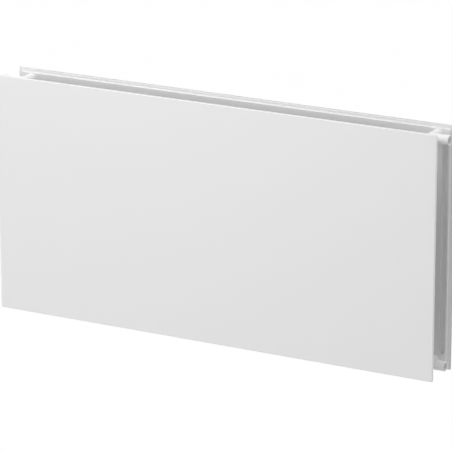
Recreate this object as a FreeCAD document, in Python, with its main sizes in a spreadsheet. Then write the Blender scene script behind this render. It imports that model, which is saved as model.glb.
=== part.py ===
import FreeCAD, Part
import math
import os
import Sketcher

# Smooth-front double-panel steel radiator with its wall brackets, in millimetres.
# +X runs along the radiator, +Z is up and the wall is the plane Y = 0, with the room on its -Y side.
# The origin is the centre of the four wall screw holes.

SIZES = {
    "length": 1200,
    "height": 600,
    "wallgap": 32,
    "airgap": 75,
    "skin": 1.2,
    "hem": 3.6,
    "corner": 3,
    "fold": 6.5,
    "frontinset": 3,
    "riminset": 3.5,
    "footinset": 7.5,
    "rise": 8,
    "draft": 14,
    "pitch": 34,
    "groove": 13,
    "groovedraft": 9,
    "endmargin": 16,
    "header": 38,
    "portinset": 24,
    "tubeinset": 41,
    "teeradius": 12,
    "teereach": 8,
    "threadradius": 9.3,
    "boreshoulder": 1.3,
    "threadlength": 16,
    "luginset": 140,
    "lugheight": 200,
    "lugtall": 30,
    "lugskin": 2,
    "lugstand": 12,
    "lugfoot": 16,
    "steel": 2.5,
    "railwide": 46,
    "railend": 50,
    "hookwide": 30,
    "tongue": 14,
    "holeheight": 150,
    "holeradius": 4.5,
    "liner": 2.4,
    "linerwall": 9,
    "slack": 0.3,
    "threadfit": 0.05,
    "flange": 11.4,
    "flangethick": 3,
    "shank": 13,
    "ring": 0.7,
    "ringlip": 0.6,
    "ringfit": 0.05,
    "screwradius": 3,
    "screwpoint": 1,
    "ventfloor": 2,
    "ventbore": 1,
    "ventgap": 0.5,
    "collar": 4,
    "collarthick": 5,
    "square": 5,
    "squarelong": 5,
    "swivelradius": 7,
    "swivelthick": 4,
    "swivelfit": 0.2,
    "spout": 1.8,
    "spoutlong": 9,
    "hexsocket": 5,
    "socketdeep": 9,
}

# Places that several pieces share, as spreadsheet expressions.
HALF_LENGTH = "Sizes.length / 2"
HALF_HEIGHT = "Sizes.height / 2"
REAR_SEAM = "(Sizes.wallgap + Sizes.skin + Sizes.rise)"
FRONT_SEAM = "(Sizes.wallgap + 3 * (Sizes.skin + Sizes.rise) + Sizes.airgap)"
FRONT_FACE = "(Sizes.wallgap + 4 * (Sizes.skin + Sizes.rise) + Sizes.airgap + Sizes.skin)"
PORT_DEPTH = "(Sizes.wallgap + 2 * (Sizes.skin + Sizes.rise) + Sizes.airgap / 2)"
LAST_GROOVE = "(floor((Sizes.length / 2 - Sizes.endmargin) / Sizes.pitch) * Sizes.pitch)"
GROOVE_COUNT = "2 * floor((Sizes.length / 2 - Sizes.endmargin) / Sizes.pitch) + 1"
TUBE_X = "(Sizes.length / 2 - Sizes.tubeinset)"
PORT_Z = "(Sizes.height / 2 - Sizes.portinset)"
ARM_END = "(Sizes.length / 2 + Sizes.teereach)"
TEE_BORE = "(Sizes.threadradius - Sizes.boreshoulder)"
LUG_X = "((floor((Sizes.length / 2 - Sizes.luginset) / Sizes.pitch) + 0.5) * Sizes.pitch)"
WEB_BACK = "(Sizes.wallgap - Sizes.lugstand)"
HOOK_FLOOR = "(-Sizes.lugtall / 2 - Sizes.liner)"

TOWARDS_ROOM = FreeCAD.Rotation(FreeCAD.Vector(1, 0, 0), 90)
TOWARDS_WALL = FreeCAD.Rotation(FreeCAD.Vector(0, 0, 1), 180) * TOWARDS_ROOM

doc = FreeCAD.newDocument("Radiator")
NODES = []


def make_sheet():
    sheet = doc.addObject("Spreadsheet::Sheet", "Sizes")
    for row, (alias, value) in enumerate(SIZES.items(), start=1):
        sheet.set(f"A{row}", str(value))
        sheet.setAlias(f"A{row}", alias)
    doc.recompute()


def new_body(name):
    body = doc.addObject("PartDesign::Body", name)
    body.Label = name
    NODES.append(body)
    return body


def origin_feature(body, role):
    return next(item for item in body.Origin.OriginFeatures if item.Role == role)


def new_sketch(body, name, plane, offset="0"):
    sketch = body.newObject("Sketcher::SketchObject", name)
    sketch.AttachmentSupport = [(origin_feature(body, plane), "")]
    sketch.MapMode = "FlatFace"
    sketch.setExpression("AttachmentOffset.Base.z", offset)
    return sketch


def bound(sketch, kind, geometry, vertex, expression):
    """Dimension one vertex from the sketch's origin and tie it to the spreadsheet."""
    value = measure(expression)
    index = sketch.addConstraint(Sketcher.Constraint(kind, -1, 1, geometry, vertex, value))
    sketch.setExpression(f"Constraints[{index}]", expression)


def bound_radius(sketch, geometry, expression):
    value = measure(expression)
    index = sketch.addConstraint(Sketcher.Constraint("Radius", geometry, value))
    sketch.setExpression(f"Constraints[{index}]", expression)


def measure(expression):
    """The number that a spreadsheet expression stands for now."""
    return float(doc.Sizes.evalExpression(expression.replace("Sizes.", "")))


def polygon(sketch, corners):
    """A closed outline through corners, each a pair of expressions."""
    first = sketch.GeometryCount
    points = [FreeCAD.Vector(measure(x), measure(y), 0) for x, y in corners]
    for start, end in zip(points, points[1:] + points[:1]):
        sketch.addGeometry(Part.LineSegment(start, end), False)
    for step, (x, y) in enumerate(corners):
        follower = first + (step + 1) % len(corners)
        sketch.addConstraint(Sketcher.Constraint("Coincident", first + step, 2, follower, 1))
        bound(sketch, "DistanceX", first + step, 1, x)
        bound(sketch, "DistanceY", first + step, 1, y)


def rectangle(sketch, x0, x1, y0, y1):
    polygon(sketch, [(x0, y0), (x1, y0), (x1, y1), (x0, y1)])


def centred_rectangle(sketch, half_x, half_y):
    rectangle(sketch, f"-({half_x})", half_x, f"-({half_y})", half_y)


def circle(sketch, x, y, radius):
    centre = FreeCAD.Vector(measure(x), measure(y), 0)
    index = sketch.addGeometry(Part.Circle(centre, FreeCAD.Vector(0, 0, 1), measure(radius)), False)
    bound(sketch, "DistanceX", index, 3, x)
    bound(sketch, "DistanceY", index, 3, y)
    bound_radius(sketch, index, radius)


def upright_slot(sketch, x, half_y, radius):
    """A slot along the sketch's Y, with round ends at half_y either side of the middle."""
    across, top, round_end = measure(x), measure(half_y) - measure(radius), measure(radius)
    normal = FreeCAD.Vector(0, 0, 1)
    upper = Part.Circle(FreeCAD.Vector(across, top, 0), normal, round_end)
    lower = Part.Circle(FreeCAD.Vector(across, -top, 0), normal, round_end)
    sketch.addGeometry(Part.ArcOfCircle(upper, 0, math.pi), False)
    sketch.addGeometry(Part.ArcOfCircle(lower, math.pi, 2 * math.pi), False)
    for side in (-round_end, round_end):
        start = FreeCAD.Vector(across + side, top, 0)
        sketch.addGeometry(Part.LineSegment(start, FreeCAD.Vector(across + side, -top, 0)), False)
    sketch.addConstraint(Sketcher.Constraint("Tangent", 0, 2, 2, 1))
    sketch.addConstraint(Sketcher.Constraint("Tangent", 2, 2, 1, 1))
    sketch.addConstraint(Sketcher.Constraint("Tangent", 1, 2, 3, 2))
    sketch.addConstraint(Sketcher.Constraint("Tangent", 3, 1, 0, 1))
    bound(sketch, "DistanceX", 0, 3, x)
    bound(sketch, "DistanceY", 0, 3, f"{half_y} - ({radius})")
    bound(sketch, "DistanceY", 1, 3, f"({radius}) - ({half_y})")
    bound_radius(sketch, 0, radius)


def pad(body, sketch, length, taper="0", midplane=False, backwards=False):
    feature = body.newObject("PartDesign::Pad", sketch.Name + "Pad")
    feature.Profile = sketch
    feature.setExpression("Length", length)
    feature.setExpression("TaperAngle", taper)
    feature.Midplane = midplane
    feature.Reversed = backwards
    doc.recompute()
    return feature


def pocket(body, sketch, length, taper="0", along_normal=False):
    """A pocket; it cuts against its sketch's normal unless along_normal is set."""
    before = body.Shape.Volume
    feature = body.newObject("PartDesign::Pocket", sketch.Name + "Pocket")
    feature.Profile = sketch
    feature.setExpression("Length", length)
    feature.setExpression("TaperAngle", taper)
    feature.Reversed = along_normal
    doc.recompute()
    if feature.Shape.Volume >= before:
        raise RuntimeError(f"{feature.Name} cuts nothing")
    return feature


def round_edges(body, base, radius, wanted):
    """Fillet the edges of base that the test wanted picks."""
    picked = [f"Edge{i}" for i, edge in enumerate(base.Shape.Edges, start=1) if wanted(edge)]
    feature = body.newObject("PartDesign::Fillet", body.Name + "Round")
    feature.Base = (base, picked)
    feature.setExpression("Radius", radius)
    doc.recompute()
    return feature


def place(body, rotation, x="0", y="0", z="0"):
    """Turn a piece, then move it; the three expressions are its place in the shared frame."""
    body.Placement = FreeCAD.Placement(FreeCAD.Vector(0, 0, 0), rotation)
    for axis, expression in zip("xyz", (x, y, z)):
        body.setExpression(f"Placement.Base.{axis}", expression)


def runs_along_normal(edge):
    """True for a straight edge along the sheet's thickness."""
    ends = edge.Vertexes
    return len(ends) == 2 and abs(ends[0].X - ends[1].X) + abs(ends[0].Y - ends[1].Y) < 0.01


def pressed_sheet(name, inset, foot, rim_thickness, holes):
    """A pressed water-panel sheet: flat rim, raised pan and a row of upright grooves.

    It is drawn with its seam face on the XY plane and its raised side towards +Z. A rim thicker
    than the sheet is its edge folded back on itself.
    """
    body = new_body(name)
    half_x = f"{HALF_LENGTH} - ({inset})"
    half_y = f"{HALF_HEIGHT} - ({inset})"
    foot_x = f"{HALF_LENGTH} - ({foot})"
    foot_y = f"{HALF_HEIGHT} - ({foot})"
    rim = new_sketch(body, name + "Rim", "XY_Plane")
    centred_rectangle(rim, half_x, half_y)
    rim_pad = pad(body, rim, rim_thickness)
    round_edges(body, rim_pad, "Sizes.corner", runs_along_normal)
    pan = new_sketch(body, name + "Pan", "XY_Plane", "Sizes.skin")
    centred_rectangle(pan, foot_x, foot_y)
    pad(body, pan, "Sizes.rise", taper="-Sizes.draft * 1 deg")
    inside = new_sketch(body, name + "Inside", "XY_Plane")
    centred_rectangle(inside, f"{foot_x} - Sizes.skin", f"{foot_y} - Sizes.skin")
    pocket(body, inside, "Sizes.rise", taper="-Sizes.draft * 1 deg", along_normal=True)
    grooves(body, name)
    if holes:
        ports = new_sketch(body, name + "Ports", "XY_Plane")
        for x in (TUBE_X, f"-{TUBE_X}"):
            for y in (PORT_Z, f"-{PORT_Z}"):
                circle(ports, x, y, TEE_BORE)
        body.Tip = pocket(body, ports, "Sizes.skin + Sizes.rise", along_normal=True)
    return body


def grooves(body, name):
    """Fill a sheet's hollow where each groove goes, press the groove in and repeat the pair."""
    narrow = "Sizes.groove / 2 - Sizes.rise * tan(Sizes.groovedraft * 1 deg)"
    half_run = f"{HALF_HEIGHT} - Sizes.header"
    wall = new_sketch(body, name + "Wall", "XY_Plane")
    upright_slot(wall, f"-{LAST_GROOVE}", half_run, f"{narrow} + Sizes.skin")
    filled = pad(body, wall, "Sizes.rise + Sizes.skin / 2", taper="Sizes.groovedraft * 1 deg")
    mouth = new_sketch(body, name + "Groove", "XY_Plane", "Sizes.skin + Sizes.rise")
    upright_slot(mouth, f"-{LAST_GROOVE}", half_run, "Sizes.groove / 2")
    pressed = pocket(body, mouth, "Sizes.rise", taper="-Sizes.groovedraft * 1 deg")
    row = body.newObject("PartDesign::LinearPattern", name + "Row")
    row.Originals = [filled, pressed]
    row.Direction = (origin_feature(body, "X_Axis"), [""])
    row.Mode = "Spacing"
    row.setExpression("Offset", "Sizes.pitch")
    row.setExpression("Occurrences", GROOVE_COUNT)
    body.Tip = row
    doc.recompute()


def front_plate():
    """The smooth cover: a shallow tray over the front water panel."""
    body = new_body("front_plate")
    outline = new_sketch(body, "PlateOutline", "XY_Plane")
    centred_rectangle(outline, HALF_LENGTH, HALF_HEIGHT)
    block = pad(body, outline, "Sizes.fold")
    round_edges(body, block, "Sizes.corner", runs_along_normal)
    inside = new_sketch(body, "PlateInside", "XY_Plane")
    centred_rectangle(inside, f"{HALF_LENGTH} - Sizes.skin", f"{HALF_HEIGHT} - Sizes.skin")
    pocket(body, inside, "Sizes.fold - Sizes.skin", along_normal=True)
    place(body, TOWARDS_ROOM, y=f"-({FRONT_FACE} - Sizes.fold)")


def water_panels():
    """Two welded pairs of pressed sheets, the front pair a little smaller to sit in the plate."""
    clear = "Sizes.skin + Sizes.frontinset"
    lip = "Sizes.riminset"
    foot = "Sizes.footinset"
    covered_foot = f"{clear} + {foot} - {lip}"
    front_outer = pressed_sheet("front_panel_front_sheet", clear, covered_foot, "Sizes.skin", False)
    place(front_outer, TOWARDS_ROOM, y=f"-{FRONT_SEAM}")
    front_inner = pressed_sheet("front_panel_back_sheet", f"{clear} + {lip} / 2", foot, "Sizes.hem", True)
    place(front_inner, TOWARDS_WALL, y=f"-{FRONT_SEAM}")
    rear_inner = pressed_sheet("rear_panel_front_sheet", lip, foot, "Sizes.hem", True)
    place(rear_inner, TOWARDS_ROOM, y=f"-{REAR_SEAM}")
    rear_outer = pressed_sheet("rear_panel_back_sheet", "0", foot, "Sizes.skin", False)
    place(rear_outer, TOWARDS_WALL, y=f"-{REAR_SEAM}")


def tee(name, side, level):
    """A corner tee: a tube between the panels with a threaded arm out to the side."""
    body = new_body(name)
    tube = new_sketch(body, name + "Tube", "XZ_Plane")
    circle(tube, "0", "0", "Sizes.teeradius")
    pad(body, tube, "Sizes.airgap", midplane=True)
    arm = new_sketch(body, name + "Arm", "YZ_Plane")
    circle(arm, "0", "0", "Sizes.teeradius")
    pad(body, arm, "Sizes.tubeinset + Sizes.teereach")
    through = new_sketch(body, name + "Through", "XZ_Plane", "-Sizes.airgap / 2")
    circle(through, "0", "0", TEE_BORE)
    pocket(body, through, "Sizes.airgap", along_normal=True)
    branch = new_sketch(body, name + "Branch", "YZ_Plane")
    circle(branch, "0", "0", TEE_BORE)
    pocket(body, branch, "Sizes.tubeinset + Sizes.teereach", along_normal=True)
    thread = new_sketch(body, name + "Thread", "YZ_Plane", "Sizes.tubeinset + Sizes.teereach")
    circle(thread, "0", "0", "Sizes.threadradius")
    pocket(body, thread, "Sizes.threadlength")
    turn = FreeCAD.Rotation(FreeCAD.Vector(0, 0, 1), 0 if side > 0 else 180)
    place(body, turn, f"{side} * {TUBE_X}", f"-{PORT_DEPTH}", f"{level} * {PORT_Z}")


def lug(name, side, level):
    """A hat-shaped hanging lug, welded by its two feet to the back of the rear panel."""
    body = new_body(name)
    web = "(Sizes.pitch - Sizes.lugfoot / 2)"
    outer = f"({web} + Sizes.lugfoot)"
    near = "Sizes.lugskin"
    far = "Sizes.lugstand"
    hat = new_sketch(body, name + "Hat", "XY_Plane", "-Sizes.lugtall / 2")
    polygon(hat, [
        (f"-{outer}", f"-{far}"), (f"-{outer}", f"-({far} - {near})"),
        (f"-{web}", f"-({far} - {near})"), (f"-{web}", "0"),
        (web, "0"), (web, f"-({far} - {near})"),
        (outer, f"-({far} - {near})"), (outer, f"-{far}"),
        (f"{web} - {near}", f"-{far}"), (f"{web} - {near}", f"-{near}"),
        (f"{near} - {web}", f"-{near}"), (f"{near} - {web}", f"-{far}"),
    ])
    pad(body, hat, "Sizes.lugtall")
    place(body, FreeCAD.Rotation(), f"{side} * {LUG_X}", f"-{WEB_BACK}", f"{level} * Sizes.lugheight")


def bracket(name, side):
    """A wall rail whose two hooks are cut and folded out of the strip."""
    body = new_body(name)
    reach = f"({WEB_BACK} + Sizes.lugskin + Sizes.slack + Sizes.liner)"
    rail = new_sketch(body, name + "Rail", "XZ_Plane")
    centred_rectangle(rail, "Sizes.railwide / 2", "Sizes.lugheight + Sizes.railend")
    pad(body, rail, "Sizes.steel")
    for level, tag in ((1, "Upper"), (-1, "Lower")):
        floor = f"{level} * Sizes.lugheight + {HOOK_FLOOR}"
        window = new_sketch(body, name + tag + "Window", "XZ_Plane")
        rectangle(window, "-Sizes.hookwide / 2", "Sizes.hookwide / 2", floor,
                  f"{floor} + {reach} + Sizes.tongue")
        pocket(body, window, "Sizes.steel", along_normal=True)
        hook = new_sketch(body, name + tag + "Hook", "YZ_Plane")
        polygon(hook, [
            ("0", f"{floor} - Sizes.steel"), ("0", floor), (f"-{reach}", floor),
            (f"-{reach}", f"{floor} + Sizes.tongue"),
            (f"-({reach} + Sizes.steel)", f"{floor} + Sizes.tongue"),
            (f"-({reach} + Sizes.steel)", f"{floor} - Sizes.steel"),
        ])
        pad(body, hook, "Sizes.hookwide", midplane=True)
    holes = new_sketch(body, name + "Holes", "XZ_Plane")
    circle(holes, "0", "Sizes.holeheight", "Sizes.holeradius")
    circle(holes, "0", "-Sizes.holeheight", "Sizes.holeradius")
    pocket(body, holes, "Sizes.steel", along_normal=True)
    place(body, FreeCAD.Rotation(), f"{side} * {LUG_X}")


def hook_liner(name, side, level):
    """A nylon shoe in a hook, with a slot that the lug's web drops into."""
    body = new_body(name)
    front = f"({WEB_BACK} + Sizes.lugskin + Sizes.slack)"
    back = f"({WEB_BACK} - Sizes.slack)"
    shoe = new_sketch(body, name + "Shoe", "YZ_Plane")
    polygon(shoe, [
        (f"-({front} + Sizes.liner)", "0"), (f"-({front} + Sizes.liner)", "Sizes.liner + Sizes.linerwall"),
        (f"-{front}", "Sizes.liner + Sizes.linerwall"), (f"-{front}", "Sizes.liner"),
        (f"-{back}", "Sizes.liner"), (f"-{back}", "Sizes.liner + Sizes.linerwall"),
        (f"-({back} - Sizes.liner)", "Sizes.liner + Sizes.linerwall"), (f"-({back} - Sizes.liner)", "0"),
    ])
    pad(body, shoe, "Sizes.hookwide", midplane=True)
    place(body, FreeCAD.Rotation(), f"{side} * {LUG_X}", "0", f"{level} * Sizes.lugheight + {HOOK_FLOOR}")


def turned(name, steps):
    """A round piece about its local Z: each step is a pair of expressions, radius and height."""
    body = new_body(name)
    profile = new_sketch(body, name + "Profile", "XZ_Plane")
    polygon(profile, steps)
    feature = body.newObject("PartDesign::Revolution", name + "Turned")
    feature.Profile = profile
    feature.ReferenceAxis = (origin_feature(body, "Z_Axis"), [""])
    feature.Angle = 360
    doc.recompute()
    return body


SHANK = "(Sizes.threadradius - Sizes.threadfit)"
RING_SEAT = f"({SHANK} - 2 * Sizes.ring - Sizes.ringfit)"
RING_TOP = "-Sizes.ringlip"
RING_LOW = "(-Sizes.ringlip - 2 * Sizes.ringfit - 2 * Sizes.ring)"


def plug_outline():
    """The outer steps of a port plug, from its flange down to its shank's end; Z = 0 is the port's mouth."""
    return [
        ("Sizes.flange", "Sizes.flangethick"), ("Sizes.flange", "0"), (SHANK, "0"), (SHANK, RING_TOP),
        (RING_SEAT, RING_TOP), (RING_SEAT, RING_LOW), (SHANK, RING_LOW), (SHANK, "-Sizes.shank"),
    ]


def sealing_ring(name, level):
    """The rubber ring in a plug's groove."""
    torus = doc.addObject("Part::Torus", name)
    torus.Label = name
    torus.setExpression("Radius1", f"{SHANK} - Sizes.ring")
    torus.setExpression("Radius2", "Sizes.ring")
    NODES.append(torus)
    set_in_port(torus, level, f"({RING_TOP} + {RING_LOW}) / 2")


def set_in_port(piece, level, outward="0"):
    """Turn a piece's local Z to -X and seat it in a left-hand port, outward from the port's mouth."""
    leftwards = FreeCAD.Rotation(FreeCAD.Vector(0, 1, 0), -90)
    place(piece, leftwards, f"-({ARM_END} + {outward})", f"-{PORT_DEPTH}", f"{level} * {PORT_Z}")


def vent_plug():
    """The air vent: plug body, ring, swivelling spout and bleed screw."""
    screw = "(Sizes.screwradius + Sizes.threadfit)"
    body = turned("vent_plug_body", [(screw, "Sizes.flangethick")] + plug_outline() + [
        ("Sizes.ventbore", "-Sizes.shank"), ("Sizes.ventbore", "-Sizes.shank + Sizes.ventfloor"),
        (screw, "-Sizes.shank + Sizes.ventfloor"),
    ])
    set_in_port(body, 1)
    sealing_ring("vent_ring", 1)
    vent_swivel()
    bleed_screw()


def vent_swivel():
    """The spout: a turning disc with a short nozzle that points down."""
    inner = "(Sizes.collar + Sizes.swivelfit)"
    body = turned("vent_swivel", [
        (inner, "0"), ("Sizes.swivelradius", "0"),
        ("Sizes.swivelradius", "Sizes.swivelthick"), (inner, "Sizes.swivelthick"),
    ])
    middle = "Sizes.swivelthick / 2"
    nozzle = new_sketch(body, "SwivelNozzle", "YZ_Plane", f"-{inner}")
    circle(nozzle, "0", middle, "Sizes.spout")
    pad(body, nozzle, "Sizes.spoutlong", backwards=True)
    drilling = new_sketch(body, "SwivelDrilling", "YZ_Plane")
    circle(drilling, "0", middle, "Sizes.spout / 2")
    pocket(body, drilling, f"{inner} + Sizes.spoutlong")
    set_in_port(body, 1, "(Sizes.flangethick + Sizes.slack / 2)")


def bleed_screw():
    """The screw that opens the vent, with a square end for a radiator key."""
    depth = "(Sizes.shank - Sizes.ventfloor - Sizes.ventgap)"
    collar_foot = "(Sizes.flangethick + Sizes.slack / 2)"
    body = turned("bleed_screw", [
        ("0", f"-{depth}"), ("Sizes.screwradius - Sizes.screwpoint", f"-{depth}"),
        ("Sizes.screwradius", f"Sizes.screwpoint - {depth}"),
        ("Sizes.screwradius", collar_foot), ("Sizes.collar", collar_foot),
        ("Sizes.collar", f"{collar_foot} + Sizes.collarthick"), ("0", f"{collar_foot} + Sizes.collarthick"),
    ])
    key = new_sketch(body, "ScrewKey", "XY_Plane", f"{collar_foot} + Sizes.collarthick")
    centred_rectangle(key, "Sizes.square / 2", "Sizes.square / 2")
    pad(body, key, "Sizes.squarelong")
    set_in_port(body, 1)


def blanking_plug():
    """The blind plug in the lower port, with a hexagon socket."""
    body = turned("blanking_plug", [("0", "Sizes.flangethick")] + plug_outline() + [("0", "-Sizes.shank")])
    socket = new_sketch(body, "PlugSocket", "XY_Plane", "Sizes.flangethick")
    corners = [(f"Sizes.hexsocket * cos({60 * k} deg) / cos(30 deg)",
                f"Sizes.hexsocket * sin({60 * k} deg) / cos(30 deg)") for k in range(6)]
    polygon(socket, corners)
    pocket(body, socket, "Sizes.socketdeep")
    set_in_port(body, -1)
    sealing_ring("blanking_ring", -1)


def check_document():
    for item in doc.Objects:
        if "Invalid" in item.State or "Error" in item.State:
            raise RuntimeError(f"{item.Name}: {item.State}")
    for node in NODES:
        if node.Shape.isNull() or not node.Shape.isValid() or not node.Shape.Solids:
            raise RuntimeError(f"{node.Label} has no valid solid")


def export_nodes():
    os.makedirs("parts", exist_ok=True)
    for node in NODES:
        node.Shape.exportStep(f"parts/{node.Label}.step")


def main():
    make_sheet()
    front_plate()
    water_panels()
    for level, row in ((1, "top"), (-1, "bottom")):
        for side, end in ((1, "right"), (-1, "left")):
            tee(f"tee_{row}_{end}", side, level)
    for level, row in ((1, "upper"), (-1, "lower")):
        for side, end in ((1, "right"), (-1, "left")):
            lug(f"lug_{row}_{end}", side, level)
            hook_liner(f"hook_liner_{row}_{end}", side, level)
    bracket("wall_bracket_right", 1)
    bracket("wall_bracket_left", -1)
    vent_plug()
    blanking_plug()
    doc.recompute()
    check_document()
    export_nodes()


main()
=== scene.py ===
import bpy
import bmesh
import math
from bpy.props import FloatProperty, FloatVectorProperty, IntProperty, PointerProperty
from mathutils import Matrix, Vector, geometry


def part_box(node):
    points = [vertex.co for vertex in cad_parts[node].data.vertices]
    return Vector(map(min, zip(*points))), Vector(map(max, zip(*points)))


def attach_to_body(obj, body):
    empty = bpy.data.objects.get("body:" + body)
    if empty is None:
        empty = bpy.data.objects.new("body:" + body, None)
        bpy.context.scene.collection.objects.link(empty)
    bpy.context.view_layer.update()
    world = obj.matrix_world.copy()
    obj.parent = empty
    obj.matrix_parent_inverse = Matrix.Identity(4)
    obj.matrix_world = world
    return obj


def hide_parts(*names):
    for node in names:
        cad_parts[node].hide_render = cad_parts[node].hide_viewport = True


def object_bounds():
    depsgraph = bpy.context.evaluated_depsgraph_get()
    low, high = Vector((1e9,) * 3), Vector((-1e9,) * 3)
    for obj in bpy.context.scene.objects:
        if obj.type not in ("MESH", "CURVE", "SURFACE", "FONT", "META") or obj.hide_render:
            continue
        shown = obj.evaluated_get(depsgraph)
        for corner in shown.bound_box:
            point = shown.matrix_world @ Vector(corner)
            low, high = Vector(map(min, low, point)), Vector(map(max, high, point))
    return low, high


bl_info = {
    "name": "Flat-fronted panel radiator",
    "version": (1, 0, 0),
    "blender": (4, 5, 0),
    "location": "View3D > Sidebar > Radiator",
    "description": "Builds the finished radiator, its ports, vent and wall brackets round the packed model",
    "category": "Object",
}

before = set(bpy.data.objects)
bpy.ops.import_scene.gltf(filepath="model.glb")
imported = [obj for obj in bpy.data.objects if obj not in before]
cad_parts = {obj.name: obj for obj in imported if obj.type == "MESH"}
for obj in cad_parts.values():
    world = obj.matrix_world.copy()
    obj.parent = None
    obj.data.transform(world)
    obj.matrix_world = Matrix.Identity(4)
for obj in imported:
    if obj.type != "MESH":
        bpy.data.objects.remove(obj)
CAD_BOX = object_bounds()
MM = 0.001
LENGTH = {"subtype": "DISTANCE", "unit": "LENGTH"}
PLACE = {"size": 3, "subtype": "TRANSLATION", "unit": "LENGTH"}
COLOUR = {"size": 3, "subtype": "COLOR"}
SHARE = {"min": 0.0, "max": 1.0}
SHARP = math.radians(32)  # faces that meet at more than this look creased
BEVEL_OVER = math.radians(40)  # edges of a CAD piece sharper than this are rounded
FLAT_WITHIN = math.radians(0.5)  # faces this near to one plane are joined up
GROOVE_LIP = 0.25 * MM  # flat kept round a groove's mouth and floor
WALL_SHARE = 0.97  # of the CAD wall, so that two sheets don't touch inside
ROUND = 64  # flats in a full turn of a tube
FLOOR_REACH = 60.0
LAMPS = ("key", "fill", "front", "back")
LAMP_TARGET = (0, -0.1, 0)
ENDS = ("left", "right")
SIDE = {"left": -1, "right": 1}
ROWS = ("top", "bottom")
LEVELS = ("upper", "lower")


# ---------------------------------------------------------------- sizes and colours

class RadiatorPanels(bpy.types.PropertyGroup):
    """The pressed steel sheets and the cover plate."""
    skin: FloatProperty(
        name="Sheet", description="Thickness of the pressed steel", default=1.2 * MM, **LENGTH)
    hem: FloatProperty(
        name="Folded rim", description="Thickness of an inner sheet's folded rim",
        default=3.6 * MM, **LENGTH)
    pitch: FloatProperty(
        name="Groove pitch", description="Spacing of the upright grooves", default=34 * MM, **LENGTH)
    groove: FloatProperty(
        name="Groove width", description="Width of a groove at the sheet's face", default=13 * MM, **LENGTH)
    groove_floor: FloatProperty(
        name="Groove floor", description="Width of a groove at its floor", default=10.4 * MM, **LENGTH)
    end_margin: FloatProperty(
        name="End margin", description="Least distance from a groove's middle to the end",
        default=16 * MM, **LENGTH)
    header: FloatProperty(
        name="Header", description="Height of the plain band above and below the grooves",
        default=38 * MM, **LENGTH)
    foot: FloatProperty(
        name="Rim width", description="From the outer rim to the foot of the raised pan",
        default=8.3 * MM, **LENGTH)
    front_step: FloatProperty(
        name="Front step", description="How much nearer its rim the foremost sheet's pan comes",
        default=3.5 * MM, **LENGTH)
    pan_corner: FloatProperty(
        name="Pan corner", description="Corner radius at the foot of the raised pan",
        default=7 * MM, **LENGTH)
    lean: FloatProperty(
        name="Side lean", description="How far the pan's side leans inwards", default=1.2 * MM, **LENGTH)
    press_radius: FloatProperty(
        name="Press radius", description="Rounding of the pressed edges", default=0.9 * MM, **LENGTH)
    fold_radius: FloatProperty(
        name="Fold radius", description="Rounding of the cover plate's folded edge",
        default=1.4 * MM, **LENGTH)
    corner: FloatProperty(
        name="Corner radius", description="Rounding of the outer corners", default=3.0 * MM, **LENGTH)
    weld_pitch: FloatProperty(
        name="Spot weld pitch", description="Spacing of the spot welds down a groove",
        default=52 * MM, **LENGTH)
    weld_radius: FloatProperty(
        name="Spot weld radius", description="Radius of one spot weld's mark", default=2.6 * MM, **LENGTH)


class RadiatorFittings(bpy.types.PropertyGroup):
    """The corner tees, their threads and the weld beads."""
    bore: FloatProperty(name="Bore", description="Radius of the water way", default=8 * MM, **LENGTH)
    thread_root: FloatProperty(
        name="Thread root", description="Largest radius of the port's thread", default=10.3 * MM, **LENGTH)
    thread_crest: FloatProperty(
        name="Thread crest", description="Smallest radius of the port's thread", default=9.3 * MM, **LENGTH)
    thread_pitch: FloatProperty(
        name="Thread pitch", description="Advance of the thread in one turn", default=1.814 * MM, **LENGTH)
    thread_length: FloatProperty(
        name="Thread length", description="Depth of the threaded part of a port", default=16 * MM, **LENGTH)
    mouth_rounding: FloatProperty(
        name="Mouth rounding", description="Rounding of an arm's outer edge", default=0.9 * MM, **LENGTH)
    lead_in: FloatProperty(
        name="Lead-in", description="How far the mouth's cone opens past the thread's root",
        default=0.2 * MM, **LENGTH)
    bead: FloatProperty(name="Weld bead", description="Radius of a weld bead", default=1.3 * MM, **LENGTH)
    ripple: FloatProperty(
        name="Bead ripple", description="Spacing of the ripples along a weld bead",
        default=2.2 * MM, **LENGTH)


class RadiatorFinish(bpy.types.PropertyGroup):
    """Colours of the paint, the plating and the plastics."""
    paint: FloatVectorProperty(
        name="Paint", description="White of the powder coat", default=(0.74, 0.74, 0.74), **COLOUR)
    # Brighter than the panels' paint: painted light for the strong light from above on the tees, which wear
    # the same powder coat as the panels.
    tee_paint: FloatVectorProperty(
        name="Tee paint", description="White of the powder coat on the tees",
        default=(0.81, 0.81, 0.81), **COLOUR)
    nickel: FloatVectorProperty(
        name="Nickel", description="Plating of the port plugs", default=(0.72, 0.71, 0.68), **COLOUR)
    screw: FloatVectorProperty(
        name="Screw", description="Turned metal of the bleed screw", default=(0.62, 0.58, 0.50), **COLOUR)
    nylon: FloatVectorProperty(
        name="Nylon", description="Moulded liners in the hooks", default=(0.74, 0.74, 0.72), **COLOUR)
    rubber: FloatVectorProperty(
        name="Rubber", description="Sealing rings", default=(0.03, 0.03, 0.03), **COLOUR)
    peel: FloatProperty(
        name="Orange peel", description="Height of the ripple in the powder coat",
        default=0.012 * MM, **LENGTH)
    arc_steps: IntProperty(
        name="Arc steps", description="Flats in a quarter turn of a small rounding",
        default=5, min=2, max=12)


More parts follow.
